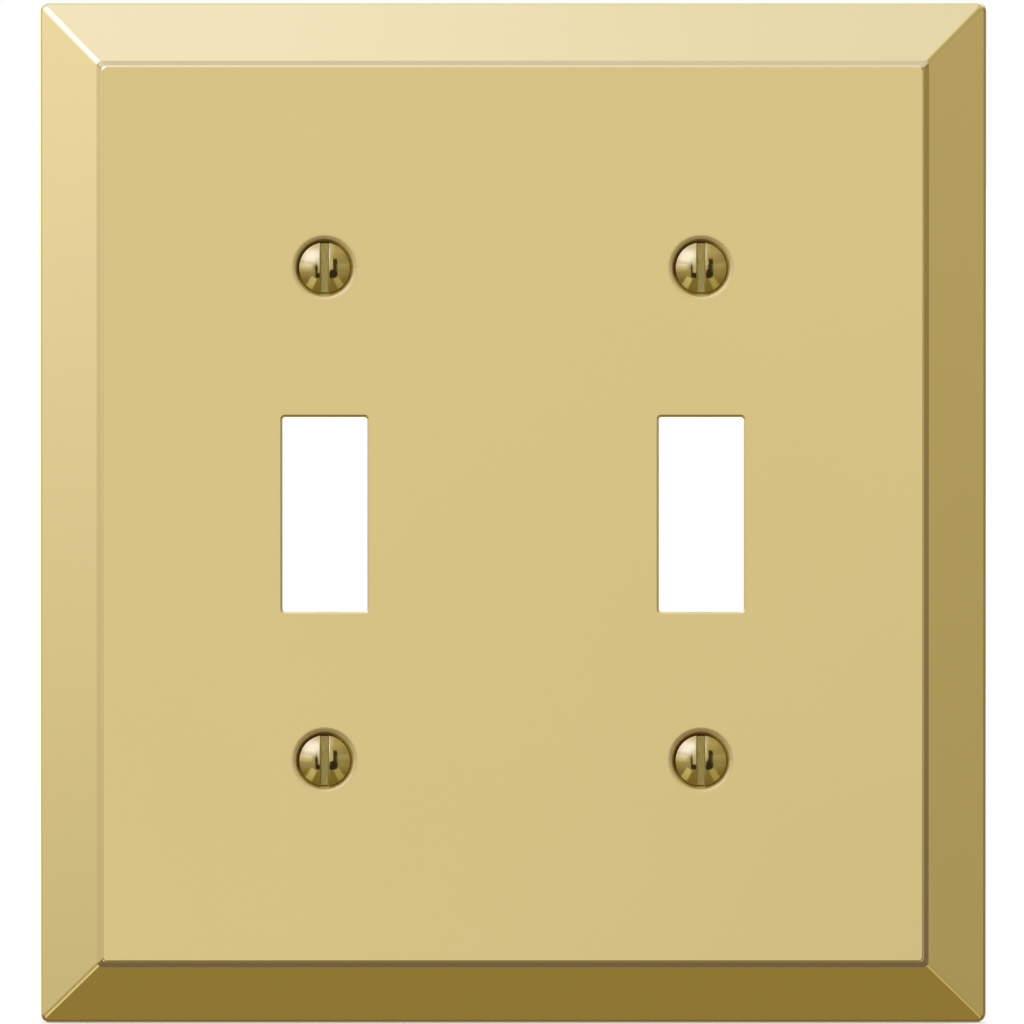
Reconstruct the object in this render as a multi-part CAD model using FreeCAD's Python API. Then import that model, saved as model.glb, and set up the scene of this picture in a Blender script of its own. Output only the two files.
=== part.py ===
import FreeCAD, Part
import math
import os

from FreeCAD import Placement, Rotation, Vector

# Two-gang toggle wall plate with its four mounting screws, in millimetres.
# +Z is up, +X is to the right of someone facing the wall, and the front faces -Y.
# The wall is the plane y = 0, and the origin is the centre of the plate's back.

INCH = 25.4

# Spacing fixed by the two switches behind the plate.
GANG_SPACING = 1.8125 * INCH
SCREW_SPACING = 2.375 * INCH

# Plate: a stamped shell of even thickness with a wide bevel and a raised centre panel.
PLATE_WIDTH = 4.5625 * INCH
PLATE_HEIGHT = 125.1
PLATE_DEPTH = 6.0
SHEET = 1.0
LIP_HEIGHT = 1.4
BEVEL_WIDTH = 7.05
STEP_WIDTH = 0.66
STEP_HEIGHT = 0.8
CORNER_R = 1.2
MITRE_R = 0.62
LIP_EDGE_R = 0.9
FOOT_R = 0.2
PANEL_EDGE_R = 0.42

# Toggle openings, punched from the front so that their front edge is drawn in a little.
OPENING_WIDTH = 0.406 * INCH
OPENING_HEIGHT = 0.937 * INCH
OPENING_CORNER_R = 0.3
OPENING_EDGE_R = 0.32

# Dimples that the screw heads sit in: the sheet sags a little round each, then turns down
# into a cone. Tilts are measured from the face.
DIMPLE_R = 4.15
SAG_R = 2.1
SAG_TILT = math.radians(14)
DIMPLE_LIP_R = 0.25
CONE_TILT = math.radians(45)
DIMPLE_DEPTH = 2.3
HOLE_R = 1.98

# Screws: #6-32 x 1/2 inch slotted oval heads.
SCREW_LENGTH = 0.5 * INCH
THREAD_R = 0.138 * INCH / 2
THREAD_PITCH = INCH / 32
THREAD_FLANK_ANGLE = 60.0
NECK_R = 1.3
HEAD_ANGLE = 82.0
HEAD_R = 3.12
HEAD_LAND = 0.12
HEAD_CROWN = 1.0
HEAD_RIM_R = 0.08
HEAD_CLEARANCE = 0.1
THREAD_START_Y = -2.6
GROOVE_START_Y = -2.8
GROOVE_OVERCUT = 0.05
SLOT_WIDTH = 0.95
SLOT_DEPTH = 1.25
SLOT_EDGE_R = 0.15
TIP_CHAMFER = 0.45

# Values that follow from the ones above.
PANEL_FOOT = PLATE_DEPTH - STEP_HEIGHT
SAG_END_R = DIMPLE_R - SAG_R * math.sin(SAG_TILT)
SAG_END_DEPTH = SAG_R * (1 - math.cos(SAG_TILT))
CONE_TOP_R = SAG_END_R - DIMPLE_LIP_R * (math.sin(CONE_TILT) - math.sin(SAG_TILT))
CONE_TOP_DEPTH = SAG_END_DEPTH + DIMPLE_LIP_R * (math.cos(SAG_TILT) - math.cos(CONE_TILT))
HOLE_RIM_DEPTH = CONE_TOP_DEPTH + (CONE_TOP_R - HOLE_R) * math.tan(CONE_TILT)
HEAD_SLOPE = math.tan(math.radians(HEAD_ANGLE / 2))
HEAD_R_AT_RIM = HOLE_R - HEAD_CLEARANCE / math.cos(math.radians(HEAD_ANGLE / 2))
HEAD_EDGE_Y = -PLATE_DEPTH + HOLE_RIM_DEPTH - (HEAD_R - HEAD_R_AT_RIM) / HEAD_SLOPE
HEAD_TOP_Y = HEAD_EDGE_Y - HEAD_LAND - HEAD_CROWN
CROWN_R = (HEAD_R ** 2 + HEAD_CROWN ** 2) / (2 * HEAD_CROWN)
CROWN_CENTRE = Vector(0, HEAD_TOP_Y + CROWN_R, 0)
NECK_Y = HEAD_EDGE_Y + (HEAD_R - NECK_R) / HEAD_SLOPE
TIP_Y = HEAD_EDGE_Y + SCREW_LENGTH
THREAD_DEPTH = 0.54127 * THREAD_PITCH
EXTRA = 1.0
SQRT_HALF = math.sqrt(0.5)

GANG_X = (-GANG_SPACING / 2, GANG_SPACING / 2)
SCREW_PLACES = {
    "screw_upper_left": (GANG_X[0], SCREW_SPACING / 2),
    "screw_upper_right": (GANG_X[1], SCREW_SPACING / 2),
    "screw_lower_left": (GANG_X[0], -SCREW_SPACING / 2),
    "screw_lower_right": (GANG_X[1], -SCREW_SPACING / 2),
}


# ---------------------------------------------------------------- wall plate

def outline(inset, height):
    """Four sides and four small corner arcs of a rectangle, this far above the wall."""
    half_w = PLATE_WIDTH / 2 - inset
    half_h = PLATE_HEIGHT / 2 - inset
    corners = []
    ends = []
    for sx, sz in ((1, 1), (-1, 1), (-1, -1), (1, -1)):
        centre = Vector(sx * (half_w - MITRE_R), -height, sz * (half_h - MITRE_R))
        on_side = centre + Vector(sx * MITRE_R, 0, 0)
        on_end = centre + Vector(0, 0, sz * MITRE_R)
        middle = centre + Vector(sx * MITRE_R * SQRT_HALF, 0, sz * MITRE_R * SQRT_HALF)
        first, last = (on_side, on_end) if sx == sz else (on_end, on_side)
        corners.append(Part.Arc(first, middle, last).toShape())
        ends.append((first, last))
    sides = [(ends[i][1], ends[(i + 1) % 4][0]) for i in range(4)]
    return sides, corners


def band(lower, upper):
    """The faces between two outlines: four flat sides and four ruled corners."""
    faces = []
    for (low_a, low_b), (up_a, up_b) in zip(lower[0], upper[0]):
        faces.append(Part.Face(Part.makePolygon([low_a, low_b, up_b, up_a, low_a])))
    for low_arc, up_arc in zip(lower[1], upper[1]):
        faces.append(Part.makeRuledSurface(low_arc, up_arc))
    return faces


def cap(section):
    """The flat face inside one outline."""
    edges = [Part.LineSegment(a, b).toShape() for a, b in section[0]] + section[1]
    return Part.Face(Part.Wire(Part.__sortEdges__(edges)))


def edges_at(shape, height):
    """The edges of a shape that lie this far above the wall."""
    return [e for e in shape.Edges if all(abs(v.Y + height) < 1e-4 for v in e.Vertexes)]


def outside_form():
    """The plate's outer form, solid all through, with its bends rounded."""
    sections = (
        outline(0, 0),
        outline(0, LIP_HEIGHT),
        outline(BEVEL_WIDTH, PANEL_FOOT),
        outline(BEVEL_WIDTH + STEP_WIDTH, PLATE_DEPTH),
    )
    faces = [cap(sections[0]), cap(sections[-1])]
    for lower, upper in zip(sections, sections[1:]):
        faces += band(lower, upper)
    shell = Part.makeShell(faces)
    shell.sewShape()
    # removeSplitter also turns every face outward, which the fillets need.
    form = Part.makeSolid(shell).removeSplitter()
    form = form.makeFillet(PANEL_EDGE_R, edges_at(form, PLATE_DEPTH))
    form = form.makeFillet(FOOT_R, edges_at(form, PANEL_FOOT))
    form = form.common(corner_block())
    return form.makeFillet(LIP_EDGE_R, lip_edges(form))


def corner_block():
    """A block of the plate's width and height, with its four corners rounded."""
    corner = Vector(-PLATE_WIDTH / 2, -PLATE_DEPTH - EXTRA, -PLATE_HEIGHT / 2)
    block = Part.makeBox(PLATE_WIDTH, PLATE_DEPTH + 2 * EXTRA, PLATE_HEIGHT, corner)
    along_y = [e for e in block.Edges if abs(e.Vertexes[0].Y - e.Vertexes[1].Y) > EXTRA]
    return block.makeFillet(CORNER_R, along_y)


def lip_edges(form):
    """The edges all round the form between its upright sides and its bevel."""
    reach = LIP_HEIGHT + CORNER_R
    found = []
    for edge in form.Edges:
        box = edge.BoundBox
        if -reach < box.YMin and box.YMax < -LIP_HEIGHT + 1e-4 and on_corner_block(edge):
            found.append(edge)
    return found


def on_corner_block(edge):
    """True if an edge lies in the upright sides of the plate."""
    middle = edge.valueAt((edge.FirstParameter + edge.LastParameter) / 2)
    gap_x = PLATE_WIDTH / 2 - CORNER_R - abs(middle.x)
    gap_z = PLATE_HEIGHT / 2 - CORNER_R - abs(middle.z)
    if gap_x < 0 and gap_z < 0:
        return abs(math.hypot(gap_x, gap_z) - CORNER_R) < 1e-4
    return min(gap_x, gap_z) + CORNER_R < 1e-4


def offset_line(start, end):
    """A profile line moved into the sheet by its thickness, as a point and a slope."""
    run = end[0] - start[0]
    rise = end[1] - start[1]
    length = math.hypot(run, rise)
    point = (start[0] + SHEET * rise / length, start[1] - SHEET * run / length)
    return point, rise / run


def inside_form():
    """The hollow behind the plate, one sheet thickness inside the outer form."""
    (bevel_d, bevel_h), bevel_slope = offset_line((0, LIP_HEIGHT), (BEVEL_WIDTH, PANEL_FOOT))
    (step_d, step_h), step_slope = offset_line(
        (BEVEL_WIDTH, PANEL_FOOT), (BEVEL_WIDTH + STEP_WIDTH, PLATE_DEPTH)
    )
    foot_d = (step_h - bevel_h + bevel_slope * bevel_d - step_slope * step_d) / (bevel_slope - step_slope)
    panel_h = PLATE_DEPTH - SHEET
    profile = (
        (SHEET, -EXTRA),
        (SHEET, bevel_h + bevel_slope * (SHEET - bevel_d)),
        (foot_d, bevel_h + bevel_slope * (foot_d - bevel_d)),
        (step_d + (panel_h - step_h) / step_slope, panel_h),
    )
    wires = []
    for inset, height in profile:
        half_w = PLATE_WIDTH / 2 - inset
        half_h = PLATE_HEIGHT / 2 - inset
        corners = [
            Vector(sx * half_w, -height, sz * half_h)
            for sx, sz in ((1, 1), (-1, 1), (-1, -1), (1, -1), (1, 1))
        ]
        wires.append(Part.makePolygon(corners))
    return Part.makeLoft(wires, True, True)


def cone_along_y(start_y, start_r, end_y, end_r):
    """A cone about the Y axis between two radii."""
    return Part.makeCone(start_r, end_r, end_y - start_y, Vector(0, start_y, 0), Vector(0, 1, 0))


def dimple_back():
    """The cone that a dimple raises on the back of the sheet."""
    start_depth = SHEET / 2
    lead = (start_depth - CONE_TOP_DEPTH) / math.tan(CONE_TILT)
    start_r = CONE_TOP_R + SHEET / math.sin(CONE_TILT) - lead
    end_r = start_r - (DIMPLE_DEPTH - start_depth) / math.tan(CONE_TILT)
    return cone_along_y(-PLATE_DEPTH + start_depth, start_r, -PLATE_DEPTH + DIMPLE_DEPTH, end_r)


def bend(start, start_tilt, end_tilt, radius):
    """An arc of a dimple's section, from one tilt of the sheet to a steeper one."""
    points = []
    for tilt in (start_tilt, (start_tilt + end_tilt) / 2, end_tilt):
        in_by = radius * (math.sin(tilt) - math.sin(start_tilt))
        down_by = radius * (math.cos(start_tilt) - math.cos(tilt))
        points.append(start + Vector(-in_by, down_by, 0))
    return Part.Arc(*points).toShape()


def dimple_front():
    """What a dimple takes out of the front: the sag, the bend at its rim and the cone."""
    rim = Vector(DIMPLE_R, -PLATE_DEPTH, 0)
    sag_end = Vector(SAG_END_R, -PLATE_DEPTH + SAG_END_DEPTH, 0)
    hole_rim = Vector(HOLE_R, -PLATE_DEPTH + HOLE_RIM_DEPTH, 0)
    above = Vector(0, -EXTRA, 0)
    edges = [bend(rim, 0, SAG_TILT, SAG_R), bend(sag_end, SAG_TILT, CONE_TILT, DIMPLE_LIP_R)]
    corners = (
        Vector(CONE_TOP_R, -PLATE_DEPTH + CONE_TOP_DEPTH, 0),
        hole_rim,
        Vector(0, hole_rim.y, 0),
        Vector(0, rim.y, 0) + above,
        rim + above,
        rim,
    )
    edges += [Part.LineSegment(a, b).toShape() for a, b in zip(corners, corners[1:])]
    section = Part.Face(Part.Wire(Part.__sortEdges__(edges)))
    return section.revolve(Vector(0, 0, 0), Vector(0, 1, 0), 360)


def toggle_opening():
    """One punched opening, as the block that is cut away."""
    corner = Vector(-OPENING_WIDTH / 2, -PLATE_DEPTH - EXTRA, -OPENING_HEIGHT / 2)
    block = Part.makeBox(OPENING_WIDTH, SHEET + 2 * EXTRA, OPENING_HEIGHT, corner)
    upright = [e for e in block.Edges if abs(e.Vertexes[0].Y - e.Vertexes[1].Y) > SHEET]
    return block.makeFillet(OPENING_CORNER_R, upright)


def front_edges(shape, x, z, reach):
    """The edges in the front face that lie within reach of a point of that face."""
    found = []
    for edge in edges_at(shape, PLATE_DEPTH):
        centre = edge.BoundBox.Center
        if abs(centre.x - x) < reach and abs(centre.z - z) < reach:
            found.append(edge)
    return found


def wall_plate():
    """The plate: shell, dimples and toggle openings."""
    plate = outside_form().cut(inside_form())
    hole = Part.makeCylinder(HOLE_R, PLATE_DEPTH + EXTRA, Vector(0, -PLATE_DEPTH, 0), Vector(0, 1, 0))
    for x, z in SCREW_PLACES.values():
        place = Vector(x, 0, z)
        plate = plate.fuse(dimple_back().translated(place))
        plate = plate.cut(dimple_front().translated(place))
        plate = plate.cut(hole.translated(place))
    for x in GANG_X:
        plate = plate.cut(toggle_opening().translated(Vector(x, 0, 0)))
        plate = plate.makeFillet(OPENING_EDGE_R, front_edges(plate, x, 0, OPENING_HEIGHT))
    return plate.removeSplitter()


# -------------------------------------------------------------------- screws

def crown_round(wall_x, side, round_r):
    """A small round between the crown and a wall parallel to the screw's axis.

    side is +1 where the metal lies outside wall_x and -1 where it lies inside. The three
    points, from the wall to the crown, are (x, distance in front of the crown's centre).
    """
    centre_x = wall_x + side * round_r
    centre_rise = math.sqrt((CROWN_R - round_r) ** 2 - centre_x ** 2)
    wall_angle = math.pi if side > 0 else 0.0
    crown_angle = math.atan2(centre_rise, centre_x)
    angles = (wall_angle, (wall_angle + crown_angle) / 2, crown_angle)
    return [(centre_x + round_r * math.cos(a), centre_rise + round_r * math.sin(a)) for a in angles]


def head_and_shank():
    """The screw as turned, before its thread and slot are cut, on the Y axis."""
    rim = [(x, CROWN_CENTRE.y - rise) for x, rise in crown_round(HEAD_R, -1, HEAD_RIM_R)]
    crown_angle = math.asin(rim[2][0] / CROWN_R) / 2
    crown_middle = (CROWN_R * math.sin(crown_angle), CROWN_CENTRE.y - CROWN_R * math.cos(crown_angle))
    # The section lies on the -X side, so that the seam is opposite the thread's start.
    corners = [Vector(-r, y, 0) for r, y in (
        rim[0],
        (HEAD_R, HEAD_EDGE_Y),
        (NECK_R, NECK_Y),
        (NECK_R, THREAD_START_Y),
        (THREAD_R, THREAD_START_Y + THREAD_R - NECK_R),
        (THREAD_R, TIP_Y - TIP_CHAMFER),
        (THREAD_R - TIP_CHAMFER, TIP_Y),
        (0, TIP_Y),
        (0, HEAD_TOP_Y),
    )]
    rim_points = [Vector(-r, y, 0) for r, y in rim]
    edges = [Part.LineSegment(a, b).toShape() for a, b in zip(corners, corners[1:])]
    on_crown = Vector(-crown_middle[0], crown_middle[1], 0)
    edges.append(Part.Arc(corners[-1], on_crown, rim_points[2]).toShape())
    edges.append(Part.Arc(rim_points[2], rim_points[1], rim_points[0]).toShape())
    return Part.Face(Part.Wire(edges)).revolve(Vector(0, 0, 0), Vector(0, 1, 0), 360)


def slot():
    """The straight driver slot, upright when the screw is at rest."""
    corner = Vector(-SLOT_WIDTH / 2, HEAD_TOP_Y - EXTRA, -HEAD_R - EXTRA)
    return Part.makeBox(SLOT_WIDTH, SLOT_DEPTH + EXTRA, 2 * (HEAD_R + EXTRA), corner)


def slot_edge(side):
    """What rounds one long edge of the slot, swept about the crown's centre."""
    reach = 0.3
    wall, middle, crown = crown_round(SLOT_WIDTH / 2, 1, SLOT_EDGE_R)
    outer = crown[1] + reach
    inner_x = wall[0] - reach
    points = [
        Vector(side * x, CROWN_CENTRE.y - rise, 0)
        for x, rise in (crown, (crown[0], outer), (inner_x, outer), (inner_x, wall[1]), wall)
    ]
    edges = [Part.LineSegment(a, b).toShape() for a, b in zip(points, points[1:])]
    middle_point = Vector(side * middle[0], CROWN_CENTRE.y - middle[1], 0)
    edges.append(Part.Arc(points[-1], middle_point, points[0]).toShape())
    section = Part.Face(Part.Wire(edges))
    section.rotate(CROWN_CENTRE, Vector(1, 0, 0), -45)
    return section.revolve(CROWN_CENTRE, Vector(1, 0, 0), 90)


def thread_groove():
    """The helical V groove between the thread's crests, on the Y axis."""
    length = TIP_Y + THREAD_PITCH - GROOVE_START_Y
    spread = math.tan(math.radians(THREAD_FLANK_ANGLE / 2))
    root_half = THREAD_PITCH / 8
    root_r = THREAD_R - THREAD_DEPTH
    mouth_half = root_half + (THREAD_DEPTH + GROOVE_OVERCUT) * spread
    section = Part.makePolygon([
        Vector(root_r, 0, -root_half),
        Vector(THREAD_R + GROOVE_OVERCUT, 0, -mouth_half),
        Vector(THREAD_R + GROOVE_OVERCUT, 0, mouth_half),
        Vector(root_r, 0, root_half),
        Vector(root_r, 0, -root_half),
    ])
    helix = Part.makeHelix(THREAD_PITCH, length, THREAD_R)
    groove = Part.Wire(helix).makePipeShell([section], True, True)
    along_y = Placement(Vector(0, GROOVE_START_Y, 0), Rotation(Vector(1, 0, 0), -90))
    return groove.transformGeometry(along_y.toMatrix())


def screw():
    """One mounting screw on the Y axis."""
    body = head_and_shank().cut(slot())
    for side in (1, -1):
        body = body.cut(slot_edge(side))
    return body.cut(thread_groove())


os.makedirs("parts", exist_ok=True)
wall_plate().exportStep("parts/wall_plate.step")
one_screw = screw()
for name, (x, z) in SCREW_PLACES.items():
    one_screw.translated(Vector(x, 0, z)).exportStep("parts/" + name + ".step")
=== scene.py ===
import math

import bpy
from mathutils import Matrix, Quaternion, Vector


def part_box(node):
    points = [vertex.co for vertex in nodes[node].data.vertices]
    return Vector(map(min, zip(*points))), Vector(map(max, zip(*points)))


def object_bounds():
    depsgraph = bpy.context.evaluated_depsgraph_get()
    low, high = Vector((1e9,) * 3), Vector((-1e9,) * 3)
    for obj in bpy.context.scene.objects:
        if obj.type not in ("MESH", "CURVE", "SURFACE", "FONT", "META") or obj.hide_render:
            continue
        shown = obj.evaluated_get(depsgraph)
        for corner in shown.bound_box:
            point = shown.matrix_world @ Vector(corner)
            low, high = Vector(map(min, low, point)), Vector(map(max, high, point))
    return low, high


# A polished brass wall plate for two toggle switches, with its four slotted screws.
# Everything is in metres in the frame of the CAD model: the plate's front faces -Y, +Z is
# up, and the wall it is made for is the plane y = 0.

MM = 0.001

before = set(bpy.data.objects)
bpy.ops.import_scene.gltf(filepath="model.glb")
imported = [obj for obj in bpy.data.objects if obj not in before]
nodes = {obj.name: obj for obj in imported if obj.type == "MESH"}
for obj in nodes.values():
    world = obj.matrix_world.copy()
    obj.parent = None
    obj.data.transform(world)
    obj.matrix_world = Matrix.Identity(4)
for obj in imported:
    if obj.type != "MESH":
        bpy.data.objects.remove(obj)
CAD_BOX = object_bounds()

PLATE = "wall_plate"
SCREWS = ["screw_upper_left", "screw_upper_right", "screw_lower_left", "screw_lower_right"]

# Places read from the frame.
PLATE_LOW, PLATE_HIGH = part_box(PLATE)
HALF_WIDTH = (PLATE_HIGH.x - PLATE_LOW.x) / 2
HALF_HEIGHT = (PLATE_HIGH.z - PLATE_LOW.z) / 2
FACE_Y = PLATE_LOW.y
SCREW_LOW, SCREW_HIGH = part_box(SCREWS[1])
SCREW_X = (SCREW_LOW.x + SCREW_HIGH.x) / 2
SCREW_Z = (SCREW_LOW.z + SCREW_HIGH.z) / 2
HEAD_R = (SCREW_HIGH.z - SCREW_LOW.z) / 2
HEAD_TOP_Y = SCREW_LOW.y

# Features of the screws and their dimples, measured from the axis or the head's top.
SLOT_HALF = 0.475 * MM
SLOT_TOP = 0.12 * MM
SLOT_FLOOR = 1.2 * MM
HEAD_RIM = 0.96 * MM
HEAD_CONE = 2.6 * MM
WARM_START_R = 2.3 * MM
WARM_FULL_R = 3.1 * MM
DRIVER_MARK_REACH = 0.45 * MM
TURNING_PITCH = 0.09 * MM
THREAD_ROOT_R = 1.33 * MM
THREAD_CREST_R = 1.75 * MM
DIMPLE_WALL_R = 3.58 * MM
DIMPLE_R = 4.15 * MM

# The bare brass inside the shell starts this far in from the plate's outside.
SHELL_START = 0.4 * MM
SHELL_FULL = 0.6 * MM

# Heights of the fine relief.
RIPPLE = 0.0015 * MM
ROLLED_GRAIN = 0.012 * MM
TURNING_MARKS = 0.00012 * MM
SAW_MARKS = 0.012 * MM

# Camera: a little above the plate's centre, and far enough away that the view is nearly
# parallel.
CAMERA_LENS = 1200.0
SENSOR_WIDTH = 36.0
CAMERA_ELEVATION = math.radians(2.5)
VIEW_WIDTH = 125.43 * MM
VIEW_CENTRE = Vector((-0.1 * MM, 0.0, 0.03 * MM))
CLIP_END = 20.0

FLOOR_REACH = 3.0
FLOOR_GREY = 0.85
FLOOR_GLOW = 0.25


# ------------------------------------------------------------------ node helpers

class Nodes:
    """A node tree with short ways to add and join nodes."""

    def __init__(self, tree):
        self.tree = tree
        tree.nodes.clear()

    def add(self, kind, inputs=None, **settings):
        """A new node, with its settings, and its inputs set or linked by name or number."""
        node = self.tree.nodes.new(kind)
        for name, value in settings.items():
            setattr(node, name, value)
        for name, value in (inputs or {}).items():
            self.put(node.inputs[name], value)
        return node

    def put(self, socket, value):
        """Links a socket to another one, or sets its value."""
        if isinstance(value, bpy.types.NodeSocket):
            self.tree.links.new(value, socket)
        else:
            socket.default_value = value

    def math(self, operation, a, b=0.0):
        return self.add("ShaderNodeMath", {0: a, 1: b}, operation=operation).outputs[0]

    def product(self, *factors):
        """All the factors multiplied together."""
        result = factors[0]
        for factor in factors[1:]:
            result = self.math("MULTIPLY", result, factor)
        return result

    def invert(self, value):
        return self.math("SUBTRACT", 1.0, value)

    def vector(self, operation, a, b=(0.0, 0.0, 0.0)):
        node = self.add("ShaderNodeVectorMath", {0: a, 1: b}, operation=operation)
        return node.outputs["Value" if operation == "LENGTH" else "Vector"]

    def split(self, vector, axes="XYZ"):
        """The parts of a vector along the axes named."""
        parts = self.add("ShaderNodeSeparateXYZ", {0: vector}).outputs
        return [parts[axis] for axis in axes]

    def smooth(self, value, start, end):
        """0 before start, 1 after end, and a smooth rise between them."""
        inputs = {"Value": value, "From Min": start, "From Max": end}
        node = self.add("ShaderNodeMapRange", inputs, interpolation_type="SMOOTHSTEP")
        return node.outputs["Result"]

    def between(self, value, start, end, edge):
        """1 between start and end, and 0 outside them, with edges this soft."""
        rise = self.smooth(value, start - edge, start + edge)
        fall = self.smooth(value, end + edge, end - edge)
        return self.product(rise, fall)

    def remap(self, value, low, high):
        """A value from 0 to 1, moved to between low and high."""
        inputs = {"Value": value, "To Min": low, "To Max": high}
        return self.add("ShaderNodeMapRange", inputs).outputs["Result"]

    def mix(self, factor, a, b):
        """A blend of two colours."""
        node = self.add("ShaderNodeMix", data_type="RGBA")
        for number, value in ((0, factor), (6, a), (7, b)):
            self.put(node.inputs[number], value)
        return node.outputs[2]

    def blend(self, factor, a, b):
        """A blend of two numbers."""
        return self.add("ShaderNodeMix", {0: factor, 2: a, 3: b}).outputs[0]

    def noise(self, place, scale, detail=2.0, roughness=0.5):
        inputs = {"Vector": place, "Scale": scale, "Detail": detail, "Roughness": roughness}
        return self.add("ShaderNodeTexNoise", inputs).outputs[0]

    def stretched(self, place, scale, turn=0.0):
        """The place turned about Y and then scaled by its own amount along each axis."""
        turned = self.add("ShaderNodeMapping", {"Vector": place, "Rotation": (0.0, turn, 0.0)})
        return self.vector("MULTIPLY", turned.outputs[0], scale)

    def hairlines(self, place, turn):
        """Sparse fine scratches that all run the same way."""
        lines = self.noise(self.stretched(place, (5200.0, 90.0, 90.0), turn), 1.0, 1.0)
        return self.smooth(lines, 0.70, 0.76)

    def from_axis(self, place, x, z):
        """The distance of a place from the line along Y through (x, z)."""
        offset = self.vector("SUBTRACT", place, (x, 0.0, z))
        return self.vector("LENGTH", self.vector("MULTIPLY", offset, (1.0, 0.0, 1.0)))

    def bump(self, height, distance, under=None):
        """Relief this many metres high, on top of any relief already there."""
        inputs = {"Height": height, "Distance": distance, "Strength": 1.0}
        if under is not None:
            inputs["Normal"] = under
        return self.add("ShaderNodeBump", inputs).outputs[0]

    def finish(self, colour, roughness, normal, **constants):
        """A metal surface, joined to the output. The constants stay on its own sockets."""
        inputs = {"Base Color": colour, "Roughness": roughness, "Normal": normal, "Metallic": 1.0}
        for name, value in constants.items():
            inputs[name.replace("_", " ")] = value
        shader = self.add("ShaderNodeBsdfPrincipled", inputs)
        self.add("ShaderNodeOutputMaterial", {"Surface": shader.outputs[0]})


def rgba(colour):
    return (*colour, 1.0)


def new_material(name):
    material = bpy.data.materials.new(name)
    material.use_nodes = True
    return material, Nodes(material.node_tree)


# ---------------------------------------------------------------------- materials

POLISHED = (0.900, 0.700, 0.302)
POLISHED_DEEP = (0.882, 0.680, 0.286)
SCREW_POLISHED = (0.650, 0.505, 0.185)
SCREW_WARM = (0.560, 0.410, 0.140)
SLOT_CUT = (0.500, 0.390, 0.120)
SLOT_DULL = (0.380, 0.280, 0.085)
BARE = (0.680, 0.500, 0.230)
BARE_DULL = (0.520, 0.370, 0.165)
STAIN = (0.260, 0.170, 0.080)
# Next: grime with painted shade for the gaps under the heads, then painted light for the gap walls
# that face up and to the left.
GRIME_AND_GAP_SHADE = (0.620, 0.450, 0.150)
GAP_PAINTED_LIGHT = (0.840, 0.660, 0.150)

# Roughness. A pair is the range over the surface, and the hairlines', the drawn zone's, the
# stains' and the driver marks' is added to what is there.
POLISHED_ROUGH = (0.035, 0.075)
HAIRLINE_ROUGH = 0.05
DRAWN_ROUGH = 0.32
GAP_WALL_ROUGH = 0.45
GAP_LIT_WALL_ROUGH = 0.66
ROLLED_ROUGH = (0.26, 0.44)
STAIN_ROUGH = 0.15
CROWN_ROUGH = (0.05, 0.09)
DRIVER_MARK_ROUGH = 0.22
SLOT_ROUGH = 0.28
DIRTY_ROUGH = 0.42
THREAD_ROOT_ROUGH = 0.42
THREAD_CREST_ROUGH = 0.20

# The lacquer over the plate.
LACQUER = 0.15
LACQUER_ROUGH = 0.06


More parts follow.
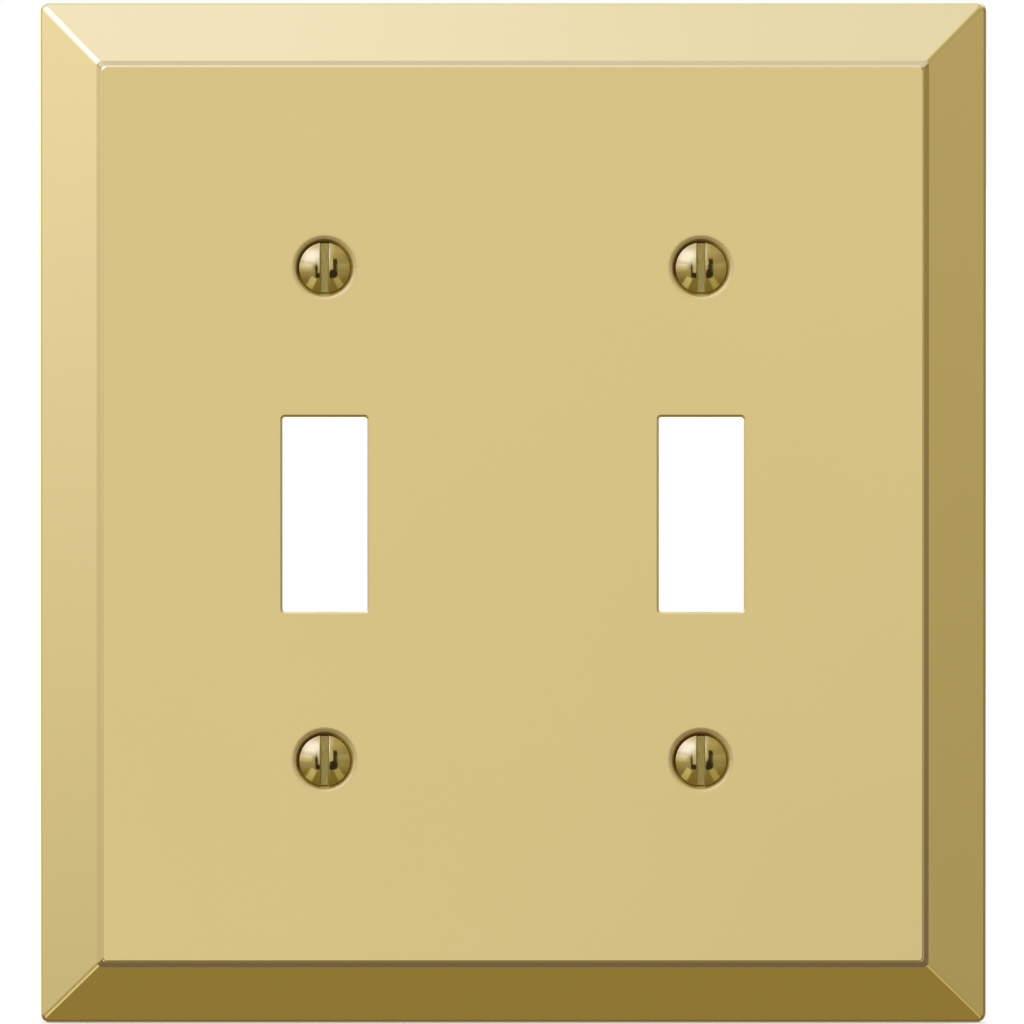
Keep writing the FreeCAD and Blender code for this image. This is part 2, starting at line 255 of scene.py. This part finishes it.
def plate_material():
    """Polished and lacquered brass in front, and the bare drawn sheet behind."""
    material, n = new_material("plate_brass")
    coordinates = n.add("ShaderNodeTexCoord")
    place = coordinates.outputs["Object"]
    across, upward = n.split(place, "XZ")
    facing_x, facing_y, facing_z = n.split(coordinates.outputs["Normal"])
    from_screw = n.from_axis(n.vector("ABSOLUTE", place), SCREW_X, SCREW_Z)

    # Polished front: an even tone, faint haze and a few hairlines.
    tone = n.noise(place, 45.0, 3.0)
    hairlines = n.math("MAXIMUM", n.hairlines(place, 0.5), n.hairlines(place, -1.1))
    colour = n.mix(tone, rgba(POLISHED), rgba(POLISHED_DEEP))
    haze = n.noise(place, 900.0, 2.0)
    roughness = n.math("ADD", n.remap(haze, *POLISHED_ROUGH), n.product(hairlines, HAIRLINE_ROUGH))

    # The sheet is less bright where it was drawn down round each screw. In the gap under each
    # head its wall is grime and painted shade above and to the left, and matt, with painted
    # light, where it faces up and to the left.
    drawn = n.smooth(from_screw, DIMPLE_R + 0.25 * MM, DIMPLE_WALL_R + 0.15 * MM)
    roughness = n.math("ADD", roughness, n.product(drawn, DRAWN_ROUGH))
    gap_edge = n.math("ADD", from_screw, n.remap(n.noise(place, 1500.0), -0.06 * MM, 0.06 * MM))
    in_gap = n.smooth(gap_edge, DIMPLE_WALL_R + 0.12 * MM, DIMPLE_WALL_R - 0.10 * MM)
    # The gap wall that faces up and to the left is painted lighter. The rest of the gap is grime
    # and painted shade.
    clear = n.smooth(n.math("SUBTRACT", facing_z, facing_x), -0.65, -0.10)
    colour = n.mix(in_gap, colour, n.mix(clear, rgba(GRIME_AND_GAP_SHADE), rgba(GAP_PAINTED_LIGHT)))
    roughness = n.blend(in_gap, roughness, n.blend(clear, GAP_WALL_ROUGH, GAP_LIT_WALL_ROUGH))

    # Bare brass: everything that faces the wall, and the walls inside the shell and holes.
    edgewise = n.smooth(facing_y, -0.12, -0.06)
    for offset, half in ((across, HALF_WIDTH), (upward, HALF_HEIGHT)):
        inside = n.smooth(n.math("ABSOLUTE", offset), half - SHELL_START, half - SHELL_FULL)
        edgewise = n.product(edgewise, inside)
    bare = n.math("MAXIMUM", n.smooth(facing_y, 0.03, 0.08), edgewise)
    rolled = n.noise(n.stretched(place, (60.0, 300.0, 1400.0)), 1.0, 4.0, 0.6)
    bare_colour = n.mix(n.smooth(rolled, 0.3, 0.7), rgba(BARE), rgba(BARE_DULL))
    stains = n.smooth(n.noise(place, 70.0, 5.0, 0.6), 0.54, 0.70)
    bare_colour = n.mix(n.product(stains, 0.55), bare_colour, rgba(STAIN))
    bare_roughness = n.math("ADD", n.remap(rolled, *ROLLED_ROUGH), n.product(stains, STAIN_ROUGH))

    colour = n.mix(bare, colour, bare_colour)
    roughness = n.blend(bare, roughness, bare_roughness)
    ripple = n.bump(n.noise(place, 320.0, 1.0), RIPPLE)
    relief = n.bump(n.product(rolled, bare), ROLLED_GRAIN, ripple)
    n.finish(colour, roughness, relief, Coat_Weight=LACQUER, Coat_Roughness=LACQUER_ROUGH)
    return material


def screw_material(name):
    """Brass screw: polished crown, dull slot, grime and painted shade on its cone, and darker
    thread roots.
    """
    material, n = new_material(name + "_brass")
    low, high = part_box(name)
    x, z = (low.x + high.x) / 2, (low.z + high.z) / 2
    coordinates = n.add("ShaderNodeTexCoord")
    place = n.vector("SUBTRACT", coordinates.outputs["Object"], (x, HEAD_TOP_Y, z))
    across, depth = n.split(place, "XY")
    radius = n.from_axis(place, 0.0, 0.0)
    off_slot = n.math("ABSOLUTE", across)

    # Crown: turning marks, a warmer rim and small marks left by drivers along the slot.
    turning = n.math("SINE", n.math("MULTIPLY", radius, 2.0 * math.pi / TURNING_PITCH))
    tone = n.noise(place, 700.0, 3.0)
    rim = n.product(n.smooth(radius, WARM_START_R, WARM_FULL_R), 0.7)
    warm = n.math("ADD", rim, n.product(tone, 0.25))
    colour = n.mix(warm, rgba(SCREW_POLISHED), rgba(SCREW_WARM))
    beside_slot = n.smooth(off_slot, SLOT_HALF + DRIVER_MARK_REACH, SLOT_HALF)
    marks = n.product(beside_slot, n.smooth(n.noise(place, 3200.0, 3.0), 0.56, 0.66))
    colour = n.mix(n.product(marks, 0.5), colour, rgba(SCREW_WARM))
    roughness = n.math("ADD", n.remap(tone, *CROWN_ROUGH), n.product(marks, DRIVER_MARK_ROUGH))

    # Slot: cut, not polished, and darker and duller than the crown, in sawn streaks.
    in_slot = n.product(
        n.smooth(off_slot, SLOT_HALF + 0.03 * MM, SLOT_HALF - 0.01 * MM),
        n.between(depth, SLOT_TOP, SLOT_FLOOR + 0.1 * MM, 0.05 * MM),
    )
    sawn = n.noise(n.stretched(place, (6000.0, 6000.0, 700.0)), 1.0, 3.0, 0.6)
    slot_colour = n.mix(n.smooth(sawn, 0.3, 0.75), rgba(SLOT_CUT), rgba(SLOT_DULL))
    colour = n.mix(in_slot, colour, slot_colour)
    roughness = n.blend(in_slot, roughness, SLOT_ROUGH)

    # Grime and painted shade, in patches, on the rim and the cone below it, down in the gap.
    out_of_slot = n.smooth(off_slot, SLOT_HALF - 0.03 * MM, SLOT_HALF + 0.03 * MM)
    past_slot = n.smooth(radius, HEAD_R - 0.10 * MM, HEAD_R - 0.02 * MM)
    rim_and_cone = n.between(depth, HEAD_RIM, HEAD_CONE, 0.05 * MM)
    rim_and_cone = n.product(rim_and_cone, n.math("MAXIMUM", out_of_slot, past_slot))
    patchy_grime_and_shade = n.product(rim_and_cone, n.remap(n.noise(place, 1800.0), 0.8, 1.0))
    colour = n.mix(patchy_grime_and_shade, colour, rgba(GRIME_AND_GAP_SHADE))
    roughness = n.blend(rim_and_cone, roughness, DIRTY_ROUGH)

    # Shank: rolled thread, bright on its crests and dull in its roots.
    shank = n.smooth(depth, HEAD_CONE - 0.05 * MM, HEAD_CONE + 0.05 * MM)
    crest = n.smooth(radius, THREAD_ROOT_R, THREAD_CREST_R)
    thread_colour = n.mix(crest, rgba(STAIN), rgba(SCREW_POLISHED))
    dull = n.product(n.smooth(tone, 0.45, 0.7), 0.4)
    thread_colour = n.mix(dull, thread_colour, rgba(BARE_DULL))
    thread_roughness = n.blend(crest, THREAD_ROOT_ROUGH, THREAD_CREST_ROUGH)
    colour = n.mix(shank, colour, thread_colour)
    roughness = n.blend(shank, roughness, thread_roughness)

    polished = n.product(n.invert(shank), n.invert(in_slot))
    relief = n.bump(n.product(turning, polished), TURNING_MARKS)
    relief = n.bump(n.product(sawn, in_slot), SAW_MARKS, relief)
    n.finish(colour, roughness, relief)
    return material


def give_material(node, material):
    for slot in nodes[node].material_slots:
        slot.material = material


give_material(PLATE, plate_material())
for screw in SCREWS:
    give_material(screw, screw_material(screw))


# ------------------------------------------------------------------ studio lights

# Each card hangs facing the plate, and is seen only as a reflection in the brass. The
# slopes say where it hangs: how far right and up for each metre straight in front.
# upper and lower are its colours at the top and bottom. soft is how far its edges fade,
# across and up, as a share of its size. aside moves it to the right in metres, and turn
# turns it clockwise in degrees, both as the camera would see it. behind hangs it behind
# the plate instead of in front. The front surround is the dark round the front card, and
# the front shade dims the face's lower right.
CARDS = {
    "front_surround": dict(
        slopes=(0.07, -0.03), distance=1.30, size=(1.53, 1.33), soft=(0.02, 0.02),
        upper=(0.07, 0.06, 0.035), lower=(0.04, 0.035, 0.03),
    ),
    "front": dict(
        slopes=(0.0, 0.11), distance=1.25, size=(1.00, 0.91), soft=(0.02, 0.02),
        upper=(0.775, 0.815, 0.81), lower=(0.755, 0.775, 0.785),
    ),
    "front_shade": dict(
        slopes=(0.083, -0.129), distance=1.20, size=(0.34, 0.34), soft=(0.50, 0.50),
        upper=(0.70, 0.72, 0.73), lower=(0.70, 0.72, 0.73),
    ),
    "top": dict(
        slopes=(0.0, 1.50), distance=1.20, size=(1.10, 1.50), soft=(0.30, 0.03),
        upper=(0.88, 0.98, 1.31), lower=(0.88, 0.98, 1.31),
    ),
    "top_left": dict(
        slopes=(0.0, 1.50), distance=1.18, size=(0.75, 1.475), soft=(0.18, 0.03), aside=-0.30,
        upper=(1.00, 1.12, 1.66), lower=(1.00, 1.12, 1.66),
    ),
    "upper_left": dict(
        slopes=(-0.95, 0.75), distance=1.05, size=(1.50, 1.05), soft=(0.40, 0.40),
        upper=(1.60, 1.81, 3.8), lower=(1.45, 1.66, 3.2),
    ),
    "left": dict(
        slopes=(-1.48, 0.0), distance=1.15, size=(1.30, 0.52), soft=(0.25, 0.22),
        upper=(1.40, 1.48, 1.96), lower=(0.38, 0.375, 0.16),
    ),
    "right": dict(
        slopes=(1.48, 0.0), distance=1.15, size=(1.30, 0.52), soft=(0.25, 0.22),
        upper=(0.61, 0.60, 0.51), lower=(0.38, 0.36, 0.24),
    ),
    "left_level": dict(
        slopes=(-5.14, -0.23), distance=0.60, size=(0.30, 0.16), soft=(0.30, 0.06), behind=True,
        upper=(0.757, 0.763, 0.845), lower=(0.571, 0.582, 0.587),
    ),
    "right_level": dict(
        slopes=(5.14, -0.23), distance=0.60, size=(0.30, 0.16), soft=(0.30, 0.06), behind=True,
        upper=(0.337, 0.315, 0.168), lower=(0.175, 0.155, 0.187),
    ),
    "lower_left": dict(
        slopes=(-0.92, -1.00), distance=1.20, size=(0.44, 0.75), soft=(0.25, 0.12), turn=45.0,
        upper=(0.85, 0.87, 0.76), lower=(0.70, 0.70, 0.50),
    ),
    "lower_right": dict(
        slopes=(0.92, -1.00), distance=1.20, size=(0.42, 0.75), soft=(0.25, 0.12), turn=-45.0,
        upper=(0.58, 0.58, 0.35), lower=(0.55, 0.54, 0.33),
    ),
}


def card_material(name, upper, lower, soft):
    """A plain light, shaded from top to bottom, that fades out towards its rim."""
    material, n = new_material(name + "_light")
    across, up = n.split(n.add("ShaderNodeTexCoord").outputs["Generated"], "XY")
    colour = n.mix(up, rgba(lower), rgba(upper))
    fades = []
    for place, reach in ((across, soft[0]), (up, soft[1])):
        off_centre = n.math("ABSOLUTE", n.math("SUBTRACT", place, 0.5))
        fades.append(n.smooth(off_centre, 0.5, 0.5 - reach))
    light = n.add("ShaderNodeEmission", {"Color": colour, "Strength": 1.0})
    clear = n.add("ShaderNodeBsdfTransparent")
    both = {0: n.product(*fades), 1: clear.outputs[0], 2: light.outputs[0]}
    shown = n.add("ShaderNodeMixShader", both)
    n.add("ShaderNodeOutputMaterial", {"Surface": shown.outputs[0]})
    return material


def rectangle(name, half_width, half_height):
    """A flat mesh of one face, centred on its origin."""
    mesh = bpy.data.meshes.new(name)
    signs = ((-1, -1), (1, -1), (1, 1), (-1, 1))
    corners = [(x * half_width, y * half_height, 0) for x, y in signs]
    mesh.from_pydata(corners, [], [(0, 1, 2, 3)])
    return mesh


def reflection_card(name, slopes, distance, size, soft, upper, lower, aside=0.0, turn=0.0,
                    behind=False):
    """One card, facing the plate."""
    to_card = Vector((slopes[0], 1.0 if behind else -1.0, slopes[1])).normalized()
    facing = (-to_card).to_track_quat("Z", "Y")
    mesh = rectangle(name + "_card", size[0] / 2, size[1] / 2)
    mesh.materials.append(card_material(name, upper, lower, soft))
    card = bpy.data.objects.new(name + "_card", mesh)
    card.rotation_mode = "QUATERNION"
    card.rotation_quaternion = facing @ Quaternion((0.0, 0.0, 1.0), math.radians(turn))
    card.location = to_card * distance - facing @ Vector((aside, 0.0, 0.0))
    card.visible_camera = False
    card.visible_diffuse = False
    card.visible_shadow = False
    bpy.context.scene.collection.objects.link(card)


for card_name, settings in CARDS.items():
    reflection_card(card_name, **settings)


# What the brass reflects where no card hangs: in front of the plate, level with it, and
# from the backdrop behind it.
FRONT_LOW = (0.306, 0.263, 0.113)
FRONT_LEFT = (0.53, 0.50, 0.45)
FRONT_RIGHT = (0.46, 0.45, 0.33)
FRONT_HIGH_LEFT = (0.95, 1.06, 1.80)
FRONT_HIGH_RIGHT = (0.66, 0.62, 0.48)
LEVEL_LOW = (0.18, 0.16, 0.18)
LEVEL_LEFT = (0.63, 0.65, 0.66)
LEVEL_RIGHT = (0.25, 0.22, 0.19)
LEVEL_HIGH = (0.73, 0.79, 1.17)
BACKDROP_LIT = (1.9, 1.9, 2.2)
BACKDROP_DIM = (0.36, 0.34, 0.28)
WHITE = (1.0, 1.0, 1.0)


def studio_world():
    """White to the camera and on the floor, and a soft studio to what reflects it."""
    world = bpy.data.worlds.new("studio")
    world.use_nodes = True
    bpy.context.scene.world = world
    n = Nodes(world.node_tree)
    right, back, up = n.split(n.add("ShaderNodeTexCoord").outputs["Generated"])
    is_left = n.smooth(right, 0.25, -0.25)
    is_low = n.smooth(up, -0.1, -0.6)
    is_high = n.smooth(up, 0.3, 0.7)
    front = n.mix(is_left, rgba(FRONT_RIGHT), rgba(FRONT_LEFT))
    front = n.mix(is_low, front, rgba(FRONT_LOW))
    front_high = n.mix(is_left, rgba(FRONT_HIGH_RIGHT), rgba(FRONT_HIGH_LEFT))
    front = n.mix(is_high, front, front_high)
    level = n.mix(is_left, rgba(LEVEL_RIGHT), rgba(LEVEL_LEFT))
    level = n.mix(is_low, level, rgba(LEVEL_LOW))
    level = n.mix(is_high, level, rgba(LEVEL_HIGH))
    is_lit = n.math("MAXIMUM", is_left, is_high)
    is_lit = n.product(is_lit, n.invert(is_low))
    backdrop = n.mix(is_lit, rgba(BACKDROP_DIM), rgba(BACKDROP_LIT))
    around = n.mix(n.smooth(back, -0.45, 0.0), front, level)
    around = n.mix(n.smooth(back, 0.22, 0.60), around, backdrop)
    path = n.add("ShaderNodeLightPath")
    seen = n.mix(path.outputs["Is Glossy Ray"], rgba(WHITE), around)
    light = n.add("ShaderNodeBackground", {"Color": seen, "Strength": 1.0})
    n.add("ShaderNodeOutputWorld", {"Surface": light.outputs[0]})


def floor():
    """A plain pale floor under the plate's lower edge."""
    mesh = rectangle("floor", FLOOR_REACH, FLOOR_REACH)
    material, n = new_material("floor_white")
    shader = n.add("ShaderNodeBsdfPrincipled", {
        "Base Color": rgba((FLOOR_GREY, FLOOR_GREY, FLOOR_GREY)),
        "Roughness": 0.9,
        "Emission Color": rgba(WHITE),
        "Emission Strength": FLOOR_GLOW,
    })
    n.add("ShaderNodeOutputMaterial", {"Surface": shader.outputs[0]})
    mesh.materials.append(material)
    ground = bpy.data.objects.new("floor", mesh)
    ground.location = (0.0, 0.0, CAD_BOX[0].z)
    ground.visible_glossy = False
    bpy.context.scene.collection.objects.link(ground)


def camera():
    """The photograph's view: level from left to right, and a little from above."""
    data = bpy.data.cameras.new("camera")
    data.lens = CAMERA_LENS
    data.sensor_width = SENSOR_WIDTH
    data.clip_end = CLIP_END
    distance = VIEW_WIDTH * CAMERA_LENS / SENSOR_WIDTH
    back = Vector((0.0, -math.cos(CAMERA_ELEVATION), math.sin(CAMERA_ELEVATION)))
    made = bpy.data.objects.new("camera", data)
    made.location = VIEW_CENTRE + back * distance
    made.rotation_euler = (math.radians(90.0) - CAMERA_ELEVATION, 0.0, 0.0)
    bpy.context.scene.collection.objects.link(made)
    bpy.context.scene.camera = made


studio_world()
floor()
camera()
bpy.context.scene.view_settings.view_transform = "Standard"
